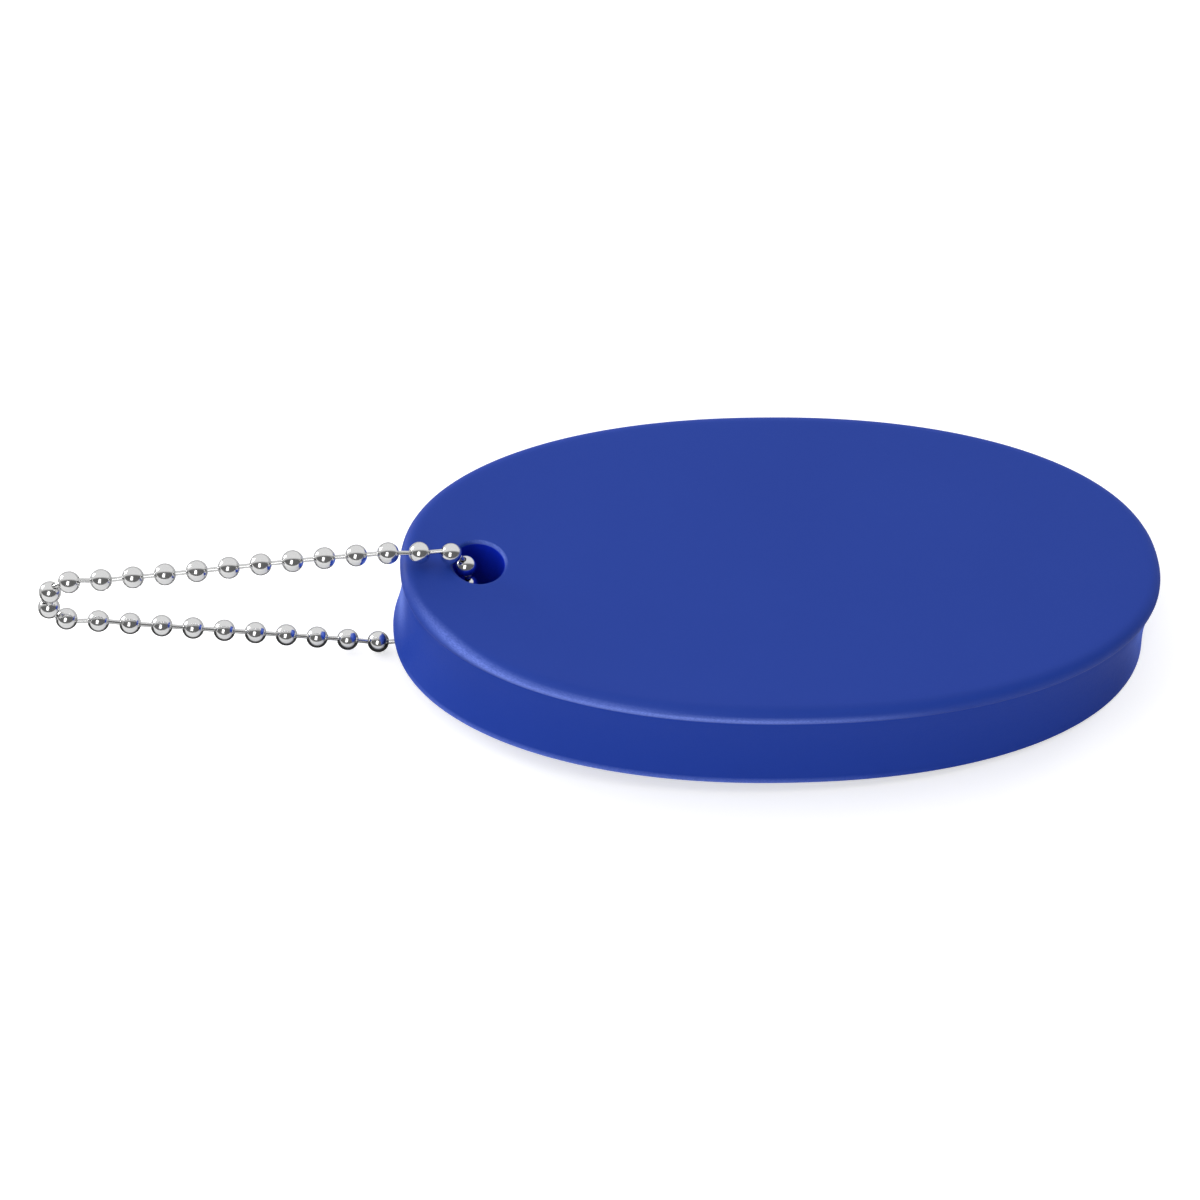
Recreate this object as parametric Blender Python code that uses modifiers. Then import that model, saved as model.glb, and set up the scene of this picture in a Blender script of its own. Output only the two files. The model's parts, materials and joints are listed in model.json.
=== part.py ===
"""Floating keychain: a die-cut oval foam float with a looped ball chain through its hole.

The parts are modelled in the float's own frame: +X along the float away from the hole,
+Z up, origin at the centre of the float's underside. The chain's loop lies in the plane y = 0.
At the end everything is leaned as it rests on a table, on the bead under the float and on the
float's far tip, and the origin is put at the centre of the whole object's footprint.
"""
import math

import bmesh
import bpy
from mathutils import Matrix, Vector

MM = 0.001

# Float
FLOAT_LENGTH = 85.0 * MM
FLOAT_WIDTH = 43.0 * MM
FLOAT_THICKNESS = 12.2 * MM
OUTLINE_POWER = 2.15
OUTLINE_SEGMENTS = 60
RIM_RADIUS = 1.3 * MM
WAIST_DEPTH = 0.35 * MM
FOOT_FLARE = 0.35 * MM
FOOT_RADIUS = 0.3 * MM
HOLE_DIAMETER = 5.7 * MM
HOLE_INSET = 8.5 * MM
HOLE_SEGMENTS = 28

# Ball chain
BEAD_DIAMETER = 2.4 * MM
BEAD_WALL = 0.12 * MM
BEAD_STEPS = 9
COLUMN_PITCH = 3.41 * MM
COLUMNS = 11
WIRE_DIAMETER = 0.5 * MM
WIRE_STEPS = 5
WIRE_PLAY = 0.11 * MM
HEAD_OVERLAP = 0.05 * MM
FUSED_HEAD_OVERLAP = 0.13 * MM
FUSED_HEAD_LENGTH = 0.8 * MM
HEAD_LENGTH = 0.3 * MM
HEAD_SETBACK = 0.535 * MM

# Coupling that joins the chain's two end beads
COUPLING_WALL = 0.22 * MM
COUPLING_FIT = 0.14 * MM
COUPLING_BEAD_GAP = 1.6 * MM
COUPLING_SEAM = math.radians(80.0)
COUPLING_LEAN = math.radians(8.0)
COUPLING_STEPS = 10
BEAD_DOOR_PLAY = 0.1 * MM

# How the chain lies
SIDE_CLEARANCE = 0.25 * MM
REST_CLEARANCE = 0.35 * MM
STRAND_ARCH = 0.6 * MM
STRAND_STAGGER = 0.55 * MM
TURN_GAP = 0.26 * MM
TURN_ANGLE = math.radians(43.0)
LOOP_END_LIFT = 0.65 * MM

# Values worked out from the sizes above
BEAD_RADIUS = BEAD_DIAMETER / 2
BEAD_INNER_RADIUS = BEAD_RADIUS - BEAD_WALL
WIRE_RADIUS = WIRE_DIAMETER / 2
WIRE_HOLE_RADIUS = WIRE_RADIUS + WIRE_PLAY
HEAD_RADIUS = WIRE_HOLE_RADIUS + HEAD_OVERLAP
FUSED_HEAD_RADIUS = WIRE_HOLE_RADIUS + FUSED_HEAD_OVERLAP
BEAD_HOLE_REACH = math.sqrt((BEAD_RADIUS - BEAD_WALL / 2) ** 2 - WIRE_HOLE_RADIUS ** 2)
LINK_HEAD_SPAN = COLUMN_PITCH - 2 * BEAD_HOLE_REACH + 2 * HEAD_SETBACK
COUPLING_INNER_RADIUS = BEAD_RADIUS + COUPLING_FIT
COUPLING_OUTER_RADIUS = COUPLING_INNER_RADIUS + COUPLING_WALL
END_BEAD_SPAN = BEAD_DIAMETER + COUPLING_BEAD_GAP
HOLE_X = HOLE_INSET - FLOAT_LENGTH / 2
HOLE_EDGE_X = HOLE_X - HOLE_DIAMETER / 2
BEAD_STANDOFF = BEAD_RADIUS + REST_CLEARANCE


def make_collection(name):
    collection = bpy.data.collections.new(name)
    bpy.context.scene.collection.children.link(collection)
    return collection


def make_material(name, color, roughness, metallic):
    material = bpy.data.materials.new(name)
    material.use_nodes = True
    shader = material.node_tree.nodes["Principled BSDF"]
    shader.inputs["Base Color"].default_value = (*color, 1.0)
    shader.inputs["Roughness"].default_value = roughness
    shader.inputs["Metallic"].default_value = metallic
    return material


def add_object(name, mesh, collection, material=None, smooth_angle=math.radians(40)):
    obj = bpy.data.objects.new(name, mesh)
    collection.objects.link(obj)
    if material:
        mesh.materials.clear()
        mesh.materials.append(material)
    mesh.shade_smooth()
    mesh.set_sharp_from_angle(angle=smooth_angle)
    return obj


def outline_point(angle, offset):
    """A point of the oval outline, moved outwards along its normal by offset."""
    half_length, half_width = FLOAT_LENGTH / 2, FLOAT_WIDTH / 2
    cosine, sine = math.cos(angle), math.sin(angle)
    x = half_length * math.copysign(abs(cosine) ** (2 / OUTLINE_POWER), cosine)
    y = half_width * math.copysign(abs(sine) ** (2 / OUTLINE_POWER), sine)
    slope_x = math.copysign(abs(x / half_length) ** (OUTLINE_POWER - 1), x) / half_length
    slope_y = math.copysign(abs(y / half_width) ** (OUTLINE_POWER - 1), y) / half_width
    steepness = math.hypot(slope_x, slope_y)
    return x + offset * slope_x / steepness, y + offset * slope_y / steepness


def side_profile():
    """Height and outward offset of the float's side, from the top face down to the underside."""
    profile = []
    for degrees in (90, 60, 30, 0, -35):
        bend = math.radians(degrees)
        profile.append((
            FLOAT_THICKNESS - RIM_RADIUS + RIM_RADIUS * math.sin(bend),
            RIM_RADIUS * (math.cos(bend) - 1),
        ))
    rim_height, rim_offset = profile[-1]
    foot_height = FOOT_RADIUS
    for share in (0.25, 0.5, 0.75, 1.0):
        height = rim_height + (foot_height - rim_height) * share
        straight = rim_offset + (FOOT_FLARE - rim_offset) * share
        profile.append((height, straight - WAIST_DEPTH * math.sin(math.pi * share)))
    profile.append((0.0, FOOT_FLARE - FOOT_RADIUS))
    return profile


def make_float(parts, cutters, material):
    """The foam float: rings of the oval stacked along its side profile, and a round hole."""
    shell = bmesh.new()
    rings = []
    for height, offset in side_profile():
        ring = []
        for step in range(OUTLINE_SEGMENTS):
            x, y = outline_point(2 * math.pi * step / OUTLINE_SEGMENTS, offset)
            ring.append(shell.verts.new((x, y, height)))
        rings.append(ring)
    for upper, lower in zip(rings, rings[1:]):
        for step in range(OUTLINE_SEGMENTS):
            after = (step + 1) % OUTLINE_SEGMENTS
            shell.faces.new((upper[step], lower[step], lower[after], upper[after]))
    shell.faces.new(rings[0])
    shell.faces.new(reversed(rings[-1]))
    bmesh.ops.recalc_face_normals(shell, faces=shell.faces)
    mesh = bpy.data.meshes.new("float_body")
    shell.to_mesh(mesh)
    shell.free()
    body = add_object("float_body", mesh, parts, material)

    punch = bmesh.new()
    bmesh.ops.create_cone(
        punch, cap_ends=True, segments=HOLE_SEGMENTS, radius1=HOLE_DIAMETER / 2,
        radius2=HOLE_DIAMETER / 2, depth=2 * FLOAT_THICKNESS,
        matrix=Matrix.Translation((HOLE_X, 0, FLOAT_THICKNESS / 2)),
    )
    cutter = add_cutter("hole_punch", punch, cutters)
    cut = body.modifiers.new("hole", "BOOLEAN")
    cut.operation = "DIFFERENCE"
    cut.solver = "EXACT"
    cut.object = cutter
    return body


def add_cutter(name, shape, cutters):
    mesh = bpy.data.meshes.new(name)
    shape.to_mesh(mesh)
    shape.free()
    cutter = bpy.data.objects.new(name, mesh)
    cutters.objects.link(cutter)
    cutter.hide_render = True
    cutter.display_type = "WIRE"
    return cutter


def turned_mesh(name, profile, steps, angle=2 * math.pi, wall=0.0):
    """A profile of (radius, height) points, turned about Z, as a mesh that can be shared."""
    mesh = bpy.data.meshes.new(name)
    ends_meet = profile[0] == profile[-1]
    points = profile[:-1] if ends_meet else profile
    edges = [(index, index + 1) for index in range(len(points) - 1)]
    if ends_meet:
        edges.append((len(points) - 1, 0))
    mesh.from_pydata([(radius, 0, height) for radius, height in points], edges, [])
    source = bpy.data.objects.new(name, mesh)
    bpy.context.scene.collection.objects.link(source)
    screw = source.modifiers.new("turn", "SCREW")
    screw.axis = "Z"
    screw.angle = angle
    screw.steps = steps
    screw.render_steps = steps
    screw.use_merge_vertices = True
    screw.merge_threshold = 0.000001
    if wall:
        sheet = source.modifiers.new("wall", "SOLIDIFY")
        sheet.thickness = wall
        sheet.offset = -1.0
    turned = bpy.data.meshes.new_from_object(
        source.evaluated_get(bpy.context.evaluated_depsgraph_get())
    )
    bpy.data.objects.remove(source)
    turned.name = name
    outward = bmesh.new()
    outward.from_mesh(turned)
    bmesh.ops.remove_doubles(outward, verts=outward.verts, dist=0.000001)
    bmesh.ops.recalc_face_normals(outward, faces=outward.faces)
    outward.to_mesh(turned)
    outward.free()
    return turned


def arc_points(radius, start, end, segments):
    """Points of an arc given by its angles from the +Z axis."""
    return [
        (
            radius * math.sin(start + (end - start) * step / segments),
            radius * math.cos(start + (end - start) * step / segments),
        )
        for step in range(segments + 1)
    ]


def bead_mesh():
    """A hollow ball with a wire hole at each pole."""
    outer_hole = math.asin(WIRE_HOLE_RADIUS / BEAD_RADIUS)
    inner_hole = math.asin(WIRE_HOLE_RADIUS / BEAD_INNER_RADIUS)
    outside = arc_points(BEAD_RADIUS, outer_hole, math.pi - outer_hole, 6)
    inside = arc_points(BEAD_INNER_RADIUS, math.pi - inner_hole, inner_hole, 5)
    return turned_mesh("bead", outside + inside + outside[:1], BEAD_STEPS)


def head_profile(radius, length):
    """Half of a link, from the tip of its head at the top down to the rod."""
    top = LINK_HEAD_SPAN / 2 + length / 2
    bottom = LINK_HEAD_SPAN / 2 - length / 2
    flank = HEAD_LENGTH / 3
    return [
        (0.0, top), (radius - flank, top), (radius, top - flank),
        (radius, bottom + flank), (WIRE_RADIUS, bottom),
    ]


def link_mesh(name, far_radius, far_length):
    """A dumbbell of wire: a straight rod with an upset head at each end, inside the beads."""
    near_end = [(radius, -height) for radius, height in head_profile(HEAD_RADIUS, HEAD_LENGTH)]
    return turned_mesh(name, head_profile(far_radius, far_length) + near_end[::-1], WIRE_STEPS)


def strand_columns():
    """Places of the beads that lie one above the other, from the float to the loop's end."""
    first_x = HOLE_EDGE_X - SIDE_CLEARANCE - 2 * COLUMN_PITCH
    end_x = first_x - (COLUMNS - 1) * COLUMN_PITCH
    top_z = FLOAT_THICKNESS + BEAD_RADIUS + STRAND_ARCH
    bottom_z = -BEAD_STANDOFF
    middle_z = FLOAT_THICKNESS / 2 + LOOP_END_LIFT
    half_height = turn_chord() * (0.5 + math.sin(TURN_ANGLE))
    rim_x = -FLOAT_LENGTH / 2 - BEAD_RADIUS
    upper, lower = [], []
    for column in range(COLUMNS):
        x = first_x - column * COLUMN_PITCH
        share = max(0.0, (rim_x - x) / (rim_x - end_x))
        eased = share * (0.6 + 0.4 * share * (3 - 2 * share))
        upper.append(Vector((x, 0, top_z + (middle_z + half_height - top_z) * eased)))
        lower_z = bottom_z + (middle_z - half_height - bottom_z) * share
        lower.append(Vector((x - STRAND_STAGGER, 0, lower_z)))
    return upper, lower


def turn_chord():
    return BEAD_DIAMETER + TURN_GAP


def turn_beads(upper_end, lower_end):
    """The two beads at the loop's far end, outside the last column."""
    along = (upper_end - lower_end).normalized()
    outward = Vector((-along.z, 0, along.x))
    middle = (upper_end + lower_end) / 2
    bulge = outward * turn_chord() * math.cos(TURN_ANGLE)
    half = along * turn_chord() / 2
    return [middle + bulge + half, middle + bulge - half]


def chain_path():
    """Centres of all the beads in order, from one end bead in the coupling to the other.

    Also gives, for each bead, the column that it belongs to, or 0 for those at the hole.
    """
    upper, lower = strand_columns()
    on_top = [
        Vector((HOLE_EDGE_X - SIDE_CLEARANCE, 0, FLOAT_THICKNESS + BEAD_STANDOFF)),
        Vector((upper[0].x + COLUMN_PITCH, 0, FLOAT_THICKNESS + BEAD_RADIUS + STRAND_ARCH)),
    ]
    under = [
        Vector((lower[0].x + COLUMN_PITCH, 0, -BEAD_STANDOFF)),
        Vector((lower[0].x + 2 * COLUMN_PITCH, 0, -BEAD_STANDOFF)),
    ]
    mouth = Vector((
        HOLE_EDGE_X + BEAD_RADIUS + SIDE_CLEARANCE, 0, FLOAT_THICKNESS - BEAD_RADIUS / 2,
    ))
    lean_axis = Vector((math.sin(COUPLING_LEAN), 0, math.cos(COUPLING_LEAN)))
    rise_in_hole = mouth.z - under[1].z - END_BEAD_SPAN * lean_axis.z
    runs = max(1, round(rise_in_hole / COLUMN_PITCH - 0.7))
    run_rise = rise_in_hole / (runs + 0.75)
    low_end = Vector((
        HOLE_EDGE_X + COUPLING_OUTER_RADIUS + SIDE_CLEARANCE, 0, under[1].z + 0.75 * run_rise,
    ))
    high_end = low_end + lean_axis * END_BEAD_SPAN
    in_hole = [high_end.lerp(mouth, run / runs) for run in range(1, runs + 1)]
    turn = turn_beads(upper[-1], lower[-1])
    centres = [high_end] + in_hole + on_top + upper + turn + lower[::-1] + under + [low_end]
    last = COLUMNS
    columns = [0] * (len(in_hole) + 3) + list(range(1, last + 1)) + [last] * 2
    columns += list(range(last, 0, -1)) + [0] * 3
    return centres, columns


def bead_directions(centres):
    """Each bead's hole axis halves the bend of the chain there, and an end bead's faces its wire."""
    steps = [(after - before).normalized() for before, after in zip(centres, centres[1:])]
    inner = [(before + after).normalized() for before, after in zip(steps, steps[1:])]
    first = centres[1] - inner[0] * BEAD_HOLE_REACH - centres[0]
    last = centres[-1] - centres[-2] - inner[-1] * BEAD_HOLE_REACH
    return [first.normalized()] + inner + [last.normalized()]


def place(obj, centre, direction):
    turn = direction.to_track_quat("Z", "Y").to_matrix().to_4x4()
    obj.matrix_world = Matrix.Translation(centre) @ turn


def make_chain(parts, cutters, steel, wire):
    """Beads and wire links. A link hidden in the float is fused to the bead that holds it."""
    centres, columns = chain_path()
    directions = bead_directions(centres)
    last = len(centres) - 1
    hidden_links = {0, 1, last - 3, last - 2, last - 1}
    ball = bead_mesh()
    dumbbell = link_mesh("link", HEAD_RADIUS, HEAD_LENGTH)
    fused_dumbbell = link_mesh("fused_link", FUSED_HEAD_RADIUS, FUSED_HEAD_LENGTH)
    pieces, beads = [], []
    for index, (centre, direction) in enumerate(zip(centres, directions)):
        bead = add_object(f"bead_{index + 1:02d}", ball, parts, steel)
        place(bead, centre, direction)
        beads.append(bead)
        pieces.append(bead)
    for index in range(last):
        start = centres[index] + directions[index] * BEAD_HOLE_REACH
        end = centres[index + 1] - directions[index + 1] * BEAD_HOLE_REACH
        heading = (end - start).normalized()
        middle = (start + end) / 2
        if index not in hidden_links:
            link = add_object(f"link_{index + 1:02d}", dumbbell, parts, wire)
            place(link, middle, heading)
            pieces.append(link)
            continue
        middle = end - heading * LINK_HEAD_SPAN / 2
        tool = bpy.data.objects.new(f"link_{index + 1:02d}_inner", fused_dumbbell)
        cutters.objects.link(tool)
        tool.hide_render = True
        tool.display_type = "WIRE"
        place(tool, middle, heading)
        carrier = beads[index + 1]
        carrier.data = carrier.data.copy()
        join = carrier.modifiers.new(tool.name, "BOOLEAN")
        join.operation = "UNION"
        join.solver = "EXACT"
        join.object = tool
        pieces.append(tool)
    return pieces, centres


def make_coupling(parts, cutters, steel, low_end, high_end):
    """A folded clasp: two round pockets with a seam along the side and a door between them."""
    half_span = END_BEAD_SPAN / 2
    neck_angle = math.asin((WIRE_HOLE_RADIUS + WIRE_PLAY) / COUPLING_OUTER_RADIUS)
    pocket = arc_points(COUPLING_OUTER_RADIUS, neck_angle, math.radians(115), 5)
    upper = [(radius, height + half_span) for radius, height in pocket]
    lower = [(radius, -height) for radius, height in reversed(upper)]
    shell = turned_mesh(
        "chain_coupling", upper + lower, COUPLING_STEPS,
        angle=2 * math.pi - COUPLING_SEAM, wall=COUPLING_WALL,
    )
    shell.transform(Matrix.Rotation(math.pi + COUPLING_SEAM / 2, 4, "Z"))
    clasp = add_object("chain_coupling", shell, parts, steel)
    place_upright(clasp, (low_end + high_end) / 2, (high_end - low_end).normalized())

    door = bmesh.new()
    side_ways = Matrix.Rotation(math.pi / 2, 4, "Y")
    bmesh.ops.create_cone(
        door, cap_ends=True, segments=16, radius1=BEAD_RADIUS + BEAD_DOOR_PLAY,
        radius2=BEAD_RADIUS + BEAD_DOOR_PLAY, depth=2 * COUPLING_OUTER_RADIUS,
        matrix=Matrix.Translation((-COUPLING_OUTER_RADIUS, 0, 0)) @ side_ways,
    )
    cutter = add_cutter("bead_door", door, cutters)
    cutter.matrix_world = clasp.matrix_world
    cut = clasp.modifiers.new("door", "BOOLEAN")
    cut.operation = "DIFFERENCE"
    cut.solver = "EXACT"
    cut.object = cutter
    return [clasp, cutter]


def place_upright(obj, centre, direction):
    """Turns the object's Z to the direction and keeps its -X side towards the float's end."""
    side = Vector((0, 1, 0))
    across = side.cross(direction).normalized()
    turn = Matrix((across, side, direction)).transposed().to_4x4()
    obj.matrix_world = Matrix.Translation(centre) @ turn


def lean_angle(centres):
    """The lean at which the lowest bead and the float's far tip both touch the table."""
    tip_x = outline_point(0.0, FOOT_FLARE - FOOT_RADIUS)[0]
    angles = []
    for centre in centres:
        reach = math.hypot(tip_x - centre.x, centre.z)
        drop = math.atan2(-centre.z, tip_x - centre.x)
        angles.append(drop + math.asin(BEAD_RADIUS / reach))
    return max(angles)


def footprint_shift(parts):
    """The move that puts the lowest point at z = 0 and the footprint's centre at the origin."""
    depsgraph = bpy.context.evaluated_depsgraph_get()
    corners = []
    for obj in parts.objects:
        shown = obj.evaluated_get(depsgraph)
        mesh = shown.to_mesh()
        corners += [shown.matrix_world @ vertex.co for vertex in mesh.vertices]
        shown.to_mesh_clear()
    low = [min(corner[axis] for corner in corners) for axis in range(3)]
    high = [max(corner[axis] for corner in corners) for axis in range(3)]
    return Vector((-(low[0] + high[0]) / 2, -(low[1] + high[1]) / 2, -low[2]))


def build():
    for obj in list(bpy.data.objects):
        bpy.data.objects.remove(obj)
    parts = make_collection("floating_keychain")
    cutters = make_collection("cutters")
    foam = make_material("blue_foam", (0.032, 0.067, 0.342), 0.7, 0.0)
    steel = make_material("bright_steel", (0.8, 0.8, 0.8), 0.15, 1.0)
    wire = make_material("steel_wire", (0.7, 0.7, 0.7), 0.25, 1.0)

    body = make_float(parts, cutters, foam)
    chain, centres = make_chain(parts, cutters, steel, wire)
    coupling = make_coupling(parts, cutters, steel, centres[-1], centres[0])

    stand = bpy.data.objects.new("resting_lean", None)
    bpy.context.scene.collection.objects.link(stand)
    for obj in [body, cutters.objects["hole_punch"]] + chain + coupling:
        obj.parent = stand
    stand.rotation_euler = (0, lean_angle(centres), 0)
    bpy.context.view_layer.update()
    stand.location = footprint_shift(parts)
    bpy.context.view_layer.update()


build()
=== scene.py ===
import json
import math

import bpy
import numpy as np
from mathutils import Matrix, Vector


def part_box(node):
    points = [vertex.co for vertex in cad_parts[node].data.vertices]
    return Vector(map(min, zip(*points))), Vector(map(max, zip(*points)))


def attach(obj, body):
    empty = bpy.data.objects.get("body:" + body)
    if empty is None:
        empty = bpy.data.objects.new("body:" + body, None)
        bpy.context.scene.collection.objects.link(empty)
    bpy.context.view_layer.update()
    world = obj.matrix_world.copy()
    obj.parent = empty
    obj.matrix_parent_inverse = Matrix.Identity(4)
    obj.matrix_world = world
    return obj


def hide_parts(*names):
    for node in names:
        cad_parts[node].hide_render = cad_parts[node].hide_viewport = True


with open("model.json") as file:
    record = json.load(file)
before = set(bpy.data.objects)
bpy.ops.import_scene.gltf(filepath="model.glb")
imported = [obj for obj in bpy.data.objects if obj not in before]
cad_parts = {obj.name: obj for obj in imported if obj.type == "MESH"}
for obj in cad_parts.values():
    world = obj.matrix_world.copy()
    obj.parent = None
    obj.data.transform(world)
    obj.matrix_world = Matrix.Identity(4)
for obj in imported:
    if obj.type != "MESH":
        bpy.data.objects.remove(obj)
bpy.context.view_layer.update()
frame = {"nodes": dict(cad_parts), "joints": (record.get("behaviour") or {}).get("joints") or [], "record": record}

mm = 0.001
slack = 0.01 * mm  # for comparing places

# places, read from the frame

joints = {joint["name"]: joint for joint in frame["joints"]}
swingAxis = Vector(joints["chain_swing"]["axis"]).normalized()
swingPoint = Vector(joints["chain_swing"]["pos_m"])
bodyOf = {}
for bodyName, nodeNames in frame["record"]["behaviour"]["bodies"].items():
    for nodeName in nodeNames:
        bodyOf[nodeName] = bodyName


def nodePoints(node):
    mesh = frame["nodes"][node].data
    points = np.zeros(len(mesh.vertices) * 3)
    mesh.vertices.foreach_get("co", points)
    return np.unique(points.reshape(-1, 3).round(8), axis=0)


floatShape = {
    "length": 85.0 * mm, "width": 43.0 * mm, "thickness": 12.2 * mm,
    "ovalPower": 2.15, "ovalPoints": 240,
    "rimRadius": 1.3 * mm, "rimTurnUnder": 35.0, "rimSteps": 10,
    "waistDepth": 0.35 * mm, "waistSteps": 14,
    "footFlare": 0.35 * mm, "footRadius": 0.3 * mm, "footSteps": 4,
    "creaseStep": 0.06 * mm, "capInset": 0.4 * mm,
    "holeRadius": 2.85 * mm, "holePoints": 96, "holeRounding": 0.4 * mm, "holeSteps": 5,
}


def findFloat():
    # the float's own axes and the centre of its underside
    side = Vector((0, 1, 0))
    along = side.cross(swingAxis).normalized()
    reach = (nodePoints("float_body") - np.array(swingPoint)) @ np.array(along)
    centre = swingPoint + along * float(reach.min() + reach.max()) / 2
    base = centre - swingAxis * floatShape["thickness"] / 2
    turn = Matrix((along, side, swingAxis)).transposed().to_4x4()
    return Matrix.Translation(base) @ turn


chainShape = {
    "beadRadius": 1.2 * mm, "beadWall": 0.12 * mm, "beadSegments": 32, "beadRings": 20,
    "holeReach": 1.082 * mm, "lipDepth": 0.06 * mm, "lipScale": 0.97, "beadTurns": 30,
    "wireRadius": 0.25 * mm, "wireSegments": 16,
    "headRadius": 0.37 * mm, "headLength": 0.3 * mm, "headSpan": 2.7 * mm,
    "smoothAngle": 50.0,
    "hiddenLinks": (1, 2, 29, 30, 31),  # these share a node with the bead after them
    "loneBead": 2.1,  # a box longer than this many bead radii holds a wire too
    "fitReaches": (0.1 * mm, 0.06 * mm, 0.03 * mm, 0.03 * mm, 0.03 * mm),
}


def ballCentre(node, linkSide):
    # fits a sphere to the bead's outer skin, starting from its end of the node's box
    low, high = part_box(node)
    radius = chainShape["beadRadius"]
    guess = (low + high) / 2
    for axis in (0, 2):
        if linkSide and high[axis] - low[axis] > chainShape["loneBead"] * radius:
            guess[axis] = high[axis] - radius
    guess = np.array(guess)
    points = nodePoints(node)
    for reach in chainShape["fitReaches"]:
        away = np.linalg.norm(points - guess, axis=1)
        skin = points[abs(away - radius) < reach]
        system = np.hstack([2 * skin, np.ones((len(skin), 1))])
        guess = np.linalg.lstsq(system, (skin ** 2).sum(axis=1), rcond=None)[0][:3]
    return Vector(guess)


floatPlace = findFloat()
holeX = (floatPlace.inverted() @ swingPoint).x
beadNames = sorted(node for node in frame["nodes"] if node.startswith("bead_"))
centres = [ballCentre(node, int(node[5:]) - 1 in chainShape["hiddenLinks"]) for node in beadNames]
for centre in centres:
    centre.y = swingPoint.y


def wireEnds(number):
    # a wire runs from one bead's hole to the next bead's
    reach = chainShape["holeReach"]
    start = centres[number - 1] + holeLines[number - 1] * reach
    return start, centres[number] - holeLines[number] * reach


def beadLines(pulls):
    between = [(before + after).normalized() for before, after in zip(pulls, pulls[1:])]
    return [pulls[0]] + between + [pulls[-1]]


holeLines = beadLines([(after - before).normalized() for before, after in zip(centres, centres[1:])])
for turn in range(chainShape["beadTurns"]):
    # each bead turns on its two wires until both leave it at the same slant
    runs = [wireEnds(number) for number in range(1, len(centres))]
    wanted = beadLines([(end - start).normalized() for start, end in runs])
    holeLines = [(line + aim).normalized() for line, aim in zip(holeLines, wanted)]
print("chain read from the frame:", len(centres), "beads")


# small helpers

def selectNothing():
    if bpy.context.mode != "OBJECT":
        bpy.ops.object.mode_set(mode="OBJECT")
    bpy.ops.object.select_all(action="DESELECT")


def openForEdit(piece, kind="FACE"):
    bpy.context.view_layer.objects.active = piece
    piece.select_set(True)
    bpy.ops.object.mode_set(mode="EDIT")
    bpy.ops.mesh.select_mode(type=kind)


def pick(piece, kind, test):
    # selects the edges or faces whose place passes the test, and nothing else
    bpy.ops.mesh.select_all(action="DESELECT")
    bpy.ops.mesh.select_mode(type=kind)
    bpy.ops.object.mode_set(mode="OBJECT")
    mesh = piece.data
    if kind == "FACE":
        for face in mesh.polygons:
            face.select = test(face.center)
    else:
        for edge in mesh.edges:
            edge.select = all(test(mesh.vertices[index].co) for index in edge.vertices)
    bpy.ops.object.mode_set(mode="EDIT")


def extrudeBy(move, grow):
    # pulls the selection out by move and scales it about the origin
    bpy.ops.mesh.extrude_region_move(TRANSFORM_OT_translate={"value": move})
    bpy.ops.transform.resize(value=grow, center_override=(0, 0, 0))


def smoothOver(angle=40.0):
    bpy.ops.object.shade_smooth_by_angle(angle=math.radians(angle))


def closeEdit(angle=40.0):
    bpy.ops.mesh.select_all(action="SELECT")
    bpy.ops.mesh.normals_make_consistent(inside=False)
    bpy.ops.object.mode_set(mode="OBJECT")
    smoothOver(angle)


def applyAll(piece):
    bpy.context.view_layer.objects.active = piece
    for modifier in list(piece.modifiers):
        bpy.ops.object.modifier_apply(modifier=modifier.name)


def giveWall(piece, thickness):
    wall = piece.modifiers.new("wall", "SOLIDIFY")
    wall.thickness = thickness
    wall.offset = -1.0
    applyAll(piece)


def punchOut(piece, punch):
    cut = piece.modifiers.new("punch", "BOOLEAN")
    cut.operation = "DIFFERENCE"
    cut.solver = "EXACT"
    cut.object = punch
    applyAll(piece)
    bpy.data.objects.remove(punch)


def settle(piece, place):
    # moves the place into the mesh, so that the object sits at the origin
    piece.data.transform(place)
    piece.matrix_world = Matrix.Identity(4)
    return piece


def lineUp(centre, direction):
    return Matrix.Translation(centre) @ direction.to_track_quat("Z", "Y").to_matrix().to_4x4()


# materials

def newMaterial(name):
    material = bpy.data.materials.new(name)
    material.use_nodes = True
    tree = material.node_tree
    return material, tree, tree.nodes["Principled BSDF"]


def addNoise(tree, coordinates, scale, detail, roughness=0.5):
    noise = tree.nodes.new("ShaderNodeTexNoise")
    noise.inputs["Scale"].default_value = scale
    noise.inputs["Detail"].default_value = detail
    noise.inputs["Roughness"].default_value = roughness
    tree.links.new(coordinates, noise.inputs["Vector"])
    return noise.outputs["Fac"]


def addRange(tree, source, low, high, span=(0.0, 1.0)):
    # turns a value within the span into one from low to high
    spread = tree.nodes.new("ShaderNodeMapRange")
    spread.interpolation_type = "SMOOTHSTEP"
    spread.inputs["From Min"].default_value, spread.inputs["From Max"].default_value = span
    spread.inputs["To Min"].default_value = low
    spread.inputs["To Max"].default_value = high
    tree.links.new(source, spread.inputs["Value"])
    return spread.outputs["Result"]


def addBump(tree, height, strength, depth):
    bump = tree.nodes.new("ShaderNodeBump")
    bump.inputs["Strength"].default_value = strength
    bump.inputs["Distance"].default_value = depth
    tree.links.new(height, bump.inputs["Height"])
    return bump


def addMath(tree, operation, first, second):
    node = tree.nodes.new("ShaderNodeMath")
    node.operation = operation
    tree.links.new(first, node.inputs[0])
    tree.links.new(second, node.inputs[1])
    return node.outputs[0]


def addColorMix(tree, share):
    # gives the sockets of its two colours and of the result
    mix = tree.nodes.new("ShaderNodeMix")
    mix.data_type = "RGBA"
    tree.links.new(share, mix.inputs["Factor"])
    return mix.inputs[6], mix.inputs[7], mix.outputs[2]


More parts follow.
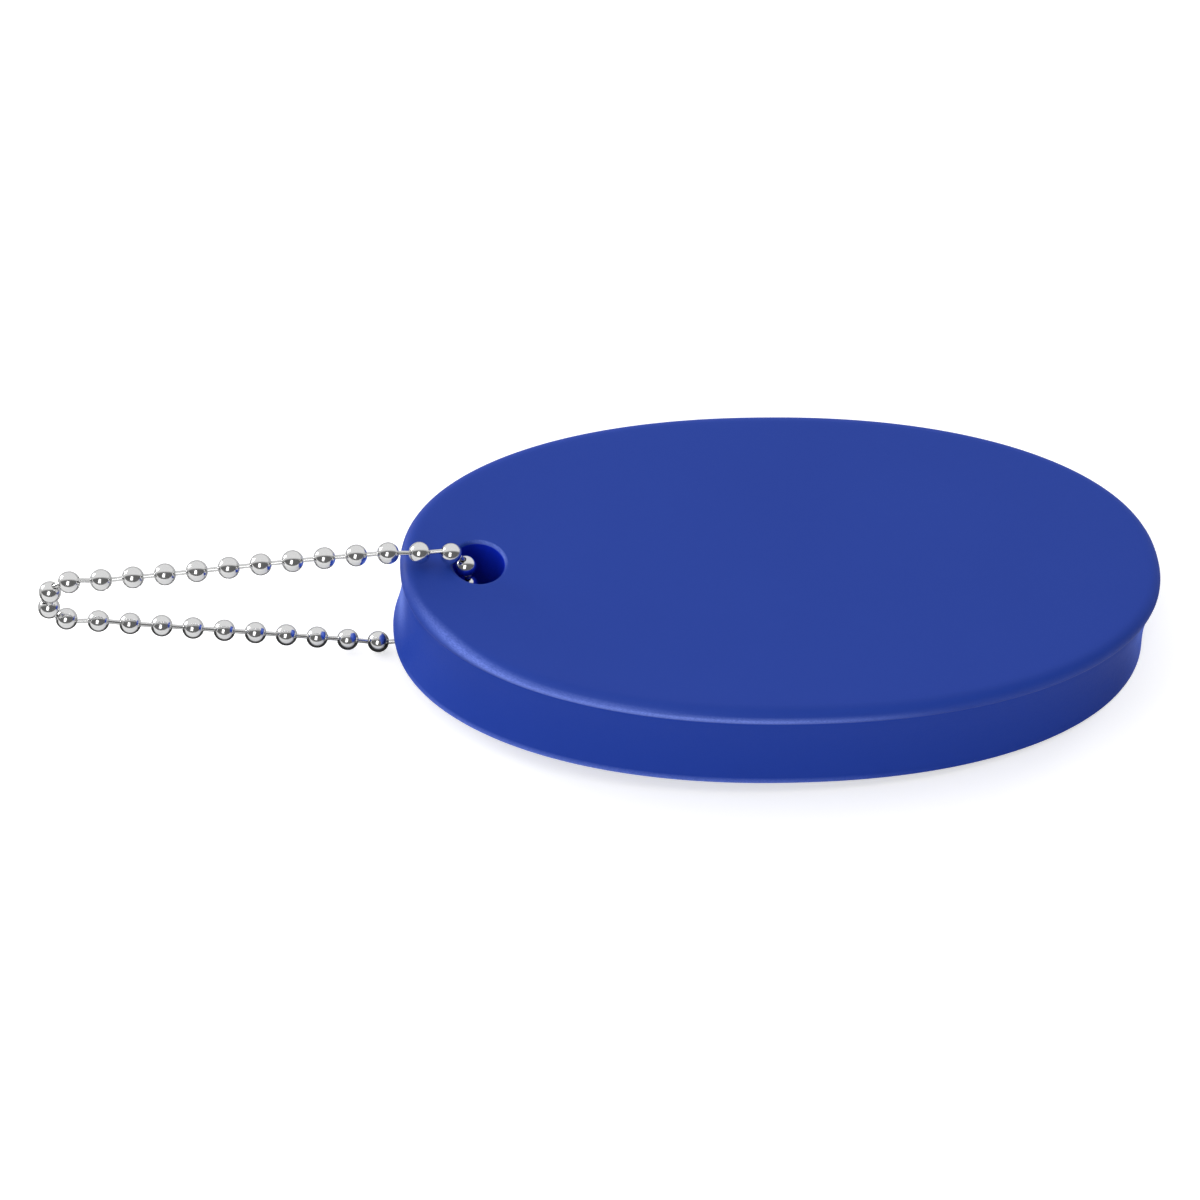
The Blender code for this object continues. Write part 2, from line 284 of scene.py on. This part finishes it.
foamLook = {
    "roughLow": 0.48, "roughHigh": 0.60, "cloudScale": 60.0, "cloudDetail": 3.0,
    "cellScale": 4200.0, "cellDetail": 4.0, "cellGrain": 0.65, "cellBump": 0.16, "cellDepth": 0.05 * mm,
    "skinScale": 700.0, "skinDetail": 3.0, "skinBump": 0.1, "skinDepth": 0.2 * mm,
    # the colour, streaks and strength of the painted highlights on the rim, the ends, the foot and the hole's rim
    "highlightColor": (0.19, 0.28, 0.82), "highlightStretch": (3500.0, 3500.0, 11000.0),
    "highlightDetail": 3.0, "highlightGrain": 0.6, "highlightFaint": 0.5, "highlightSpan": (0.3, 0.65),
    "sheenRoughness": 0.20, "sheenTint": (0.18, 0.30, 1.0),
}
# the skin of the top, rim and underside, the cut side wall, and the punched wall of the hole
foamFinishes = {
    "skinFoam": {"color": (0.012, 0.043, 0.31), "paler": (0.014, 0.048, 0.33), "specular": 0.21, "sheen": 0},
    "cutFoam": {"color": (0.012, 0.042, 0.31), "paler": (0.013, 0.045, 0.33), "specular": 0.09, "sheen": 0.5},
    # the hole's wall is painted a deeper, more saturated blue that stands in for light bouncing round inside the
    # hole
    "holeFoam": {"color": (0.005, 0.024, 0.52), "paler": (0.006, 0.028, 0.54), "specular": 0.06, "sheen": 0},
}


def makeFoam(name):
    look, finish = foamLook, foamFinishes[name]
    material, tree, shader = newMaterial(name)
    coordinates = tree.nodes.new("ShaderNodeTexCoord").outputs["Object"]
    clouds = addNoise(tree, coordinates, look["cloudScale"], look["cloudDetail"])
    darker, paler, foamColor = addColorMix(tree, clouds)
    darker.default_value = (*finish["color"], 1.0)
    paler.default_value = (*finish["paler"], 1.0)

    cells = addNoise(tree, coordinates, look["cellScale"], look["cellDetail"], look["cellGrain"])
    skin = addNoise(tree, coordinates, look["skinScale"], look["skinDetail"])
    rough = addRange(tree, cells, look["roughLow"], look["roughHigh"])
    tree.links.new(rough, shader.inputs["Roughness"])
    skinBump = addBump(tree, skin, look["skinBump"], look["skinDepth"])
    cellBump = addBump(tree, cells, look["cellBump"], look["cellDepth"])
    tree.links.new(skinBump.outputs["Normal"], cellBump.inputs["Normal"])
    tree.links.new(cellBump.outputs["Normal"], shader.inputs["Normal"])

    # painted highlights along the edges, mixed in as a paler colour and broken into fine streaks
    stretch = tree.nodes.new("ShaderNodeMapping")
    stretch.inputs["Scale"].default_value = look["highlightStretch"]
    tree.links.new(coordinates, stretch.inputs["Vector"])
    streaks = addNoise(tree, stretch.outputs["Vector"], 1.0, look["highlightDetail"], look["highlightGrain"])
    grain = addRange(tree, streaks, look["highlightFaint"], 1.0, look["highlightSpan"])
    mark = tree.nodes.new("ShaderNodeAttribute")
    mark.attribute_name = "paintedHighlightMark"
    share = addMath(tree, "MULTIPLY", mark.outputs["Fac"], grain)
    plain, highlighted, finalColor = addColorMix(tree, share)
    tree.links.new(foamColor, plain)
    highlighted.default_value = (*look["highlightColor"], 1.0)
    tree.links.new(finalColor, shader.inputs["Base Color"])
    shader.inputs["Specular IOR Level"].default_value = finish["specular"]
    shader.inputs["Sheen Weight"].default_value = finish["sheen"]
    shader.inputs["Sheen Roughness"].default_value = look["sheenRoughness"]
    shader.inputs["Sheen Tint"].default_value = (*look["sheenTint"], 1.0)
    return material


metalLooks = {
    "brightSteel": {"grey": 0.80, "roughLow": 0.10, "roughHigh": 0.19, "dents": 0.12},
    "drawnWire": {"grey": 0.72, "roughLow": 0.16, "roughHigh": 0.26, "dents": 0.05},
}
metalGrain = {
    "smudgeScale": 900.0, "smudgeDetail": 3.0,
    "dentScale": 1400.0, "dentDetail": 2.0, "dentDepth": 0.03 * mm,
}


def makeMetal(name):
    look, grain = metalLooks[name], metalGrain
    material, tree, shader = newMaterial(name)
    coordinates = tree.nodes.new("ShaderNodeTexCoord").outputs["Object"]
    smudges = addNoise(tree, coordinates, grain["smudgeScale"], grain["smudgeDetail"])
    rough = addRange(tree, smudges, look["roughLow"], look["roughHigh"])
    tree.links.new(rough, shader.inputs["Roughness"])
    dents = addNoise(tree, coordinates, grain["dentScale"], grain["dentDetail"])
    bump = addBump(tree, dents, look["dents"], grain["dentDepth"])
    tree.links.new(bump.outputs["Normal"], shader.inputs["Normal"])
    shader.inputs["Base Color"].default_value = (*[look["grey"]] * 3, 1.0)
    shader.inputs["Metallic"].default_value = 1.0
    return material


# the float

def ringStep(state, height, offset):
    # one more ring of the side wall, at a height and an outward offset of the oval
    halfLength, halfWidth = floatShape["length"] / 2, floatShape["width"] / 2
    grow = (
        (halfLength + offset) / (halfLength + state["offset"]),
        (halfWidth + offset) / (halfWidth + state["offset"]), 1.0,
    )
    extrudeBy((0, 0, height - state["height"]), grow)
    state["height"], state["offset"] = height, offset


# the painted highlights, a paler colour where light is caught: angles round the oval or the hole, angles up the
# rim, and how strong each is
paintedShine = {
    "lineMiddle": -121.0, "lineReach": 56.0, "line": 0.82, "lineSoft": (2.0, 24.0),
    "climb": 60.0, "climbTurns": (-128.0, -166.0),  # the line climbs the rim towards the hole's end
    "washMiddle": -134.0, "washReach": 34.0, "wash": 0.5,
    "washBelow": (-50.0, -15.0), "washAbove": (10.0, 45.0),
    "rimTop": 85.0, "foot": 0.6,
    "endMiddle": 174.0, "endReach": 17.0, "end": 0.6, "endHeights": (0.1, 0.6),
    "holeMiddle": 50.0, "holeReach": 70.0, "hole": 0.5, "holeBand": 0.8,
    "core": 0.35,  # the share of each reach where its mark is at full strength
}
outerShare = 0.45  # past this share of the oval's size the points belong to its rim, wall or foot


def ovalShare(x, y):
    return math.hypot(x / floatShape["length"], y / floatShape["width"])


def smoothStep(low, high, value):
    share = min(1.0, max(0.0, (value - low) / (high - low)))
    return share * share * (3 - 2 * share)


def nearTurn(turn, part):
    # 1 near an angle, falling to 0 at its reach
    middle, reach = paintedShine[part + "Middle"], paintedShine[part + "Reach"]
    away = abs((turn - middle + 180) % 360 - 180)
    return 1 - smoothStep(paintedShine["core"] * reach, reach, away)


def rimMark(turn, lean):
    # the painted highlight line along the rim, and the fainter painted wash about it
    turn -= 360 * (turn > 90)
    low, high = paintedShine["climbTurns"]
    rise = paintedShine["climb"] * smoothStep(-low, -high, -turn)
    away = lean - rise if lean > rise else (rise - lean) / 2
    line = paintedShine["line"] * nearTurn(turn, "line") * (1 - smoothStep(*paintedShine["lineSoft"], away))
    wash = paintedShine["wash"] * nearTurn(turn, "wash")
    wash *= smoothStep(*paintedShine["washBelow"], lean - rise) * (1 - smoothStep(*paintedShine["washAbove"], lean - rise))
    return max(line, wash) * (lean < paintedShine["rimTop"])


def markSurface(piece, rimHeight):
    # how much painted highlight each point has, and which foam finish each face has
    shape = floatShape
    mesh = piece.data
    paintedHighlight = mesh.attributes.new("paintedHighlightMark", "FLOAT", "POINT")
    rimCentre = shape["thickness"] - shape["rimRadius"]
    for index, point in enumerate(mesh.vertices):
        x, y, height = point.co
        turn = math.degrees(math.atan2(y / shape["width"], x / shape["length"]))
        lean = math.degrees(math.asin(max(-1.0, min(1.0, (height - rimCentre) / shape["rimRadius"]))))
        if ovalShare(x, y) < outerShare:
            around = math.degrees(math.atan2(y, x - holeX))
            outward = math.hypot(x - holeX, y) - shape["holeRadius"]
            onBevel = lean > 0 and 0 < outward < paintedShine["holeBand"] * shape["holeRounding"]
            mark = paintedShine["hole"] * nearTurn(around, "hole") * onBevel
        elif height > rimHeight - slack:
            mark = rimMark(turn, lean)
        elif height < shape["footRadius"] + slack:
            mark = paintedShine["foot"] * nearTurn(turn, "line")
        else:
            mark = paintedShine["end"] * nearTurn(turn, "end") * smoothStep(*paintedShine["endHeights"], height / rimHeight)
        paintedHighlight.data[index].value = mark
    finishes = list(foamFinishes)
    for face in mesh.polygons:
        x, y, height = face.center
        if math.hypot(x - holeX, y) < shape["holeRadius"] + 2 * slack:
            face.material_index = finishes.index("holeFoam")
        elif ovalShare(x, y) > outerShare and shape["footRadius"] < height < rimHeight:
            face.material_index = finishes.index("cutFoam")
        else:
            face.material_index = finishes.index("skinFoam")


def makeOval():
    # the float before its hole, ring by ring from the top down, and the height where its rim ends
    shape = floatShape
    halfLength, halfWidth = shape["length"] / 2, shape["width"] / 2
    top, rim = shape["thickness"], shape["rimRadius"]
    startOffset = -rim - shape["capInset"]
    selectNothing()
    bpy.ops.mesh.primitive_circle_add(
        vertices=shape["ovalPoints"], radius=1.0, fill_type="NOTHING", location=(0, 0, top),
    )
    piece = bpy.context.object
    piece.name = "foamFloat"
    bpy.ops.object.transform_apply(location=True)
    for point in piece.data.vertices:
        power = shape["ovalPower"]
        squarer = (abs(point.co.x) ** power + abs(point.co.y) ** power) ** (-1 / power)
        point.co.x *= squarer * (halfLength + startOffset)
        point.co.y *= squarer * (halfWidth + startOffset)
    openForEdit(piece, "EDGE")
    bpy.ops.mesh.select_all(action="SELECT")
    bpy.ops.mesh.edge_face_add()
    pick(piece, "EDGE", lambda place: True)

    state = {"height": top, "offset": startOffset}
    ringStep(state, top, -rim)
    for step in range(1, shape["rimSteps"] + 1):
        bend = math.radians(90 - (90 + shape["rimTurnUnder"]) * step / shape["rimSteps"])
        ringStep(state, top - rim + rim * math.sin(bend), rim * (math.cos(bend) - 1))
    rimHeight, rimOffset = state["height"], state["offset"]
    ringStep(state, rimHeight - shape["creaseStep"], rimOffset - shape["creaseStep"] / 2)
    foot = shape["footRadius"]
    for step in range(1, shape["waistSteps"] + 1):
        share = step / shape["waistSteps"]
        height = rimHeight + (foot - rimHeight) * share
        straight = rimOffset + (shape["footFlare"] - rimOffset) * share
        ringStep(state, height, straight - shape["waistDepth"] * math.sin(math.pi * share))
    for step in range(1, shape["footSteps"] + 1):
        bend = math.radians(90 * step / shape["footSteps"])
        ringStep(state, foot - foot * math.sin(bend), shape["footFlare"] - foot + foot * math.cos(bend))
    ringStep(state, 0.0, shape["footFlare"] - foot - shape["capInset"])
    bpy.ops.mesh.edge_face_add()
    closeEdit()
    return piece, rimHeight


def onHoleEdge(place):
    away = math.hypot(place.x - holeX, place.y)
    onFace = abs(place.z) < slack or abs(place.z - floatShape["thickness"]) < slack
    return onFace and abs(away - floatShape["holeRadius"]) < 2 * slack


def punchHole(piece):
    shape = floatShape
    selectNothing()
    bpy.ops.mesh.primitive_cylinder_add(
        vertices=shape["holePoints"], radius=shape["holeRadius"], depth=3 * shape["thickness"],
        location=(holeX, 0, shape["thickness"] / 2),
    )
    punchOut(piece, bpy.context.object)
    selectNothing()
    openForEdit(piece, "EDGE")
    pick(piece, "EDGE", onHoleEdge)
    bpy.ops.mesh.bevel(offset=shape["holeRounding"], segments=shape["holeSteps"], affect="EDGES")
    closeEdit()
    flat = piece.modifiers.new("flatFaces", "WEIGHTED_NORMAL")
    flat.keep_sharp = True
    applyAll(piece)


def makeFloat(materials):
    piece, rimHeight = makeOval()
    punchHole(piece)
    for material in materials:
        piece.data.materials.append(material)
    markSurface(piece, rimHeight)
    settle(piece, floatPlace)
    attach(piece, bodyOf["float_body"])
    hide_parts("float_body")
    print("float made:", len(piece.data.polygons), "faces")


# the chain

def makeBead(material):
    shape = chainShape
    radius = shape["beadRadius"]
    selectNothing()
    bpy.ops.mesh.primitive_uv_sphere_add(
        segments=shape["beadSegments"], ring_count=shape["beadRings"], radius=radius,
    )
    piece = bpy.context.object
    openForEdit(piece)
    holeHeight = radius * math.cos(math.radians(360 / shape["beadRings"]))
    pick(piece, "FACE", lambda place: abs(place.z) > holeHeight)
    bpy.ops.mesh.delete(type="FACE")
    for end in (-1, 1):
        pick(piece, "EDGE", lambda place: place.z * end > holeHeight - slack)
        extrudeBy((0, 0, -end * shape["lipDepth"]), (shape["lipScale"], shape["lipScale"], 1.0))
    closeEdit(shape["smoothAngle"])
    giveWall(piece, shape["beadWall"])
    smoothOver(shape["smoothAngle"])
    piece.data.materials.append(material)
    return piece


def makeLink(material):
    shape = chainShape
    neck = shape["headSpan"] / 2 - shape["headLength"] / 2
    selectNothing()
    bpy.ops.mesh.primitive_cylinder_add(
        vertices=shape["wireSegments"], radius=shape["wireRadius"], depth=2 * neck,
    )
    piece = bpy.context.object
    openForEdit(piece)
    third = shape["headLength"] / 3
    grow = shape["headRadius"] / shape["wireRadius"]
    shrink = shape["wireRadius"] / shape["headRadius"]
    for end in (-1, 1):
        pick(piece, "FACE", lambda place: place.z * end > neck - slack)
        for scale in (grow, 1.0, shrink):
            extrudeBy((0, 0, end * third), (scale, scale, 1.0))
    closeEdit()
    piece.data.materials.append(material)
    return piece


def copyTo(source, name, place):
    piece = bpy.data.objects.new(name, source.data.copy())
    bpy.context.scene.collection.objects.link(piece)
    return settle(piece, place)


def makeChain(steel, wire):
    bead, link = makeBead(steel), makeLink(wire)
    for node, centre, line in zip(beadNames, centres, holeLines):
        piece = copyTo(bead, "chainB" + node[1:], lineUp(centre, line))
        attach(piece, bodyOf[node])
        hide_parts(node)
    for number in range(1, len(centres)):
        start, end = wireEnds(number)
        piece = copyTo(link, f"chainLink_{number:02d}", lineUp((start + end) / 2, (end - start).normalized()))
        node = f"link_{number:02d}"
        carrier = f"bead_{number + 1:02d}" if number in chainShape["hiddenLinks"] else node
        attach(piece, bodyOf[carrier])
        if carrier == node:
            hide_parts(node)
    bpy.data.objects.remove(bead)
    bpy.data.objects.remove(link)
    print("chain made")


couplingShape = {
    "pocketRadius": 1.56 * mm, "wall": 0.22 * mm, "neck": 0.47 * mm, "span": 4.0 * mm,
    "pocketTurn": 115.0, "pocketSteps": 12, "seam": 80.0, "turnSteps": 40,
    "doorRadius": 1.3 * mm, "doorPoints": 32,  # where a bead goes in, between the pockets
}


def makeCoupling(material):
    # a point spun into the outline of one pocket, pulled down the waist and spun again for the other
    shape = couplingShape
    half = shape["span"] / 2
    radius = shape["pocketRadius"]
    start = math.asin(shape["neck"] / radius)
    sweep = math.radians(shape["pocketTurn"]) - start
    selectNothing()
    bpy.ops.mesh.primitive_plane_add(size=radius)
    piece = bpy.context.object
    piece.name = "chainCoupling"
    openForEdit(piece, "VERT")
    bpy.ops.mesh.select_all(action="SELECT")
    bpy.ops.mesh.merge(type="CENTER")
    bpy.ops.transform.translate(value=(-radius * math.sin(start), 0, half + radius * math.cos(start)))
    bpy.ops.mesh.spin(steps=shape["pocketSteps"], angle=sweep, center=(0, 0, half), axis=(0, 1, 0))
    waist = half + radius * math.cos(math.radians(shape["pocketTurn"]))
    bpy.ops.mesh.extrude_region_move(TRANSFORM_OT_translate={"value": (0, 0, -2 * waist)})
    bpy.ops.mesh.spin(steps=shape["pocketSteps"], angle=sweep, center=(0, 0, -half), axis=(0, 1, 0))
    bpy.ops.mesh.select_all(action="SELECT")
    bpy.ops.transform.rotate(
        value=math.radians(shape["seam"] / 2), orient_axis="Z", center_override=(0, 0, 0),
    )
    bpy.ops.mesh.spin(
        steps=shape["turnSteps"], angle=math.radians(360 - shape["seam"]),
        center=(0, 0, 0), axis=(0, 0, 1),
    )
    closeEdit()
    giveWall(piece, shape["wall"])
    selectNothing()
    bpy.ops.mesh.primitive_cylinder_add(
        vertices=shape["doorPoints"], radius=shape["doorRadius"], depth=2 * radius,
        location=(-radius, 0, 0), rotation=(0, math.radians(90), 0),
    )
    punchOut(piece, bpy.context.object)
    piece.select_set(True)
    smoothOver()
    piece.data.materials.append(material)
    middle = (centres[0] + centres[-1]) / 2
    upright = (centres[0] - centres[-1]).normalized()
    side = Vector((0, 1, 0))
    turn = Matrix((side.cross(upright).normalized(), side, upright)).transposed().to_4x4()
    settle(piece, Matrix.Translation(middle) @ turn)
    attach(piece, bodyOf["chain_coupling"])
    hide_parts("chain_coupling")
    print("coupling made")


# floor, light and camera

studio = {
    "floorSize": 3.0, "floorShade": 0.8, "floorGlow": 0.5,
    "floorDark": 0.04, "floorBehind": 0.5, "darkEdge": (2.0 * mm, 5.5 * mm),
    "tentFacing": (0, 0.92, 0.39), "tentEdge": (0.02, 0.32), "tentShine": 0.85, "roomShine": 0.14,
}


def makeFloor():
    # the camera sees it white, and reflections see painted shade: a dark strip right under the chain and grey
    # behind it
    selectNothing()
    bpy.ops.mesh.primitive_plane_add(size=studio["floorSize"])
    floor = bpy.context.object
    floor.name = "floor"
    material, tree, shader = newMaterial("whiteFloor")
    shader.inputs["Roughness"].default_value = 1.0
    shader.inputs["Specular IOR Level"].default_value = 0.0
    path = tree.nodes.new("ShaderNodeLightPath")
    coordinates = tree.nodes.new("ShaderNodeTexCoord").outputs["Object"]
    parts = tree.nodes.new("ShaderNodeSeparateXYZ")
    tree.links.new(coordinates, parts.inputs["Vector"])
    near, far = studio["darkEdge"]
    behind = addRange(tree, parts.outputs["Y"], studio["floorDark"], studio["floorBehind"], (near, far))
    front = addRange(tree, parts.outputs["Y"], studio["floorShade"], 0.0, (-far, -near))
    shade = addMath(tree, "MAXIMUM", behind, front)
    seen = tree.nodes.new("ShaderNodeMix")
    seen.inputs["A"].default_value = studio["floorShade"]
    tree.links.new(path.outputs["Is Glossy Ray"], seen.inputs["Factor"])
    tree.links.new(shade, seen.inputs["B"])
    tree.links.new(seen.outputs["Result"], shader.inputs["Base Color"])
    shader.inputs["Emission Color"].default_value = (1, 1, 1, 1)
    glow = addRange(tree, path.outputs["Is Camera Ray"], 0.0, studio["floorGlow"])
    tree.links.new(glow, shader.inputs["Emission Strength"])
    floor.data.materials.append(material)


def makeWorld():
    # a bright tent overhead and behind, and a dim room on the camera's side
    world = bpy.data.worlds.new("studio")
    bpy.context.scene.world = world
    world.use_nodes = True
    tree = world.node_tree
    background = tree.nodes["Background"]
    direction = tree.nodes.new("ShaderNodeTexCoord").outputs["Generated"]
    facing = tree.nodes.new("ShaderNodeVectorMath")
    facing.operation = "DOT_PRODUCT"
    facing.inputs[1].default_value = studio["tentFacing"]
    tree.links.new(direction, facing.inputs[0])
    room, tent = studio["roomShine"], studio["tentShine"]
    shine = addRange(tree, facing.outputs["Value"], room, tent, studio["tentEdge"])
    path = tree.nodes.new("ShaderNodeLightPath")
    strength = tree.nodes.new("ShaderNodeMix")
    strength.inputs["B"].default_value = 1.0
    tree.links.new(path.outputs["Is Camera Ray"], strength.inputs["Factor"])
    tree.links.new(shine, strength.inputs["A"])
    tree.links.new(strength.outputs["Result"], background.inputs["Strength"])
    background.inputs["Color"].default_value = (1, 1, 1, 1)


# each lamp: place, size, power and whether reflections show it
lamps = {
    "frontWindow": ((-0.18, -0.52, 0.46), (0.28, 0.50), 1.1, True),
    "frontFill": ((-0.32, -0.74, 0.10), (0.80, 0.30), 2.9, False),
    "overhead": ((-0.30, 0.02, 0.40), (0.40, 0.40), 0.75, False),
    "leftStrip": ((-0.50, 0.34, 0.12), (0.16, 0.20), 1.6, True),
    "rightStrip": ((0.40, 0.34, 0.04), (0.14, 0.16), 1.2, False),
}


def makeLamps():
    for name, (place, size, power, shows) in lamps.items():
        light = bpy.data.lights.new(name, "AREA")
        light.shape = "RECTANGLE"
        light.size, light.size_y = size
        light.energy = power
        lamp = bpy.data.objects.new(name, light)
        bpy.context.scene.collection.objects.link(lamp)
        lamp.visible_glossy = shows
        lamp.location = place
        lamp.rotation_mode = "QUATERNION"
        lamp.rotation_quaternion = (-Vector(place)).to_track_quat("-Z", "Y")


# camera fitted to the photograph, in the float's own axes
cameraFit = {
    "elevation": 50.89, "azimuth": -11.75, "roll": 8.18, "lens": 90.0, "sensor": 36.0,
    "distance": 339.9 * mm, "sideways": 19.44 * mm, "upward": -2.94 * mm, "clipStart": 10.0 * mm,
}


def makeCamera():
    fit = cameraFit
    lift, turn, roll = (math.radians(fit[key]) for key in ("elevation", "azimuth", "roll"))
    back = Vector((math.sin(turn) * math.cos(lift), -math.cos(turn) * math.cos(lift), math.sin(lift)))
    level = Vector((math.cos(turn), math.sin(turn), 0))
    upright = back.cross(level)
    right = level * math.cos(roll) + upright * math.sin(roll)
    up = upright * math.cos(roll) - level * math.sin(roll)
    place = back * fit["distance"] - right * fit["sideways"] - up * fit["upward"]
    view = Matrix((right, up, back)).transposed().to_4x4()
    data = bpy.data.cameras.new("camera")
    data.lens = fit["lens"]
    data.sensor_width = fit["sensor"]
    data.clip_start = fit["clipStart"]
    camera = bpy.data.objects.new("camera", data)
    bpy.context.scene.collection.objects.link(camera)
    camera.matrix_world = floatPlace @ Matrix.Translation(place) @ view
    bpy.context.scene.camera = camera


makeCamera()
steel = makeMetal("brightSteel")
wire = makeMetal("drawnWire")
foams = [makeFoam(name) for name in foamFinishes]
print("camera and materials made")
makeFloat(foams)
makeChain(steel, wire)
makeCoupling(steel)
makeFloor()
makeWorld()
makeLamps()
bpy.context.scene.view_settings.view_transform = "Standard"
print("floor, world and lamps made")
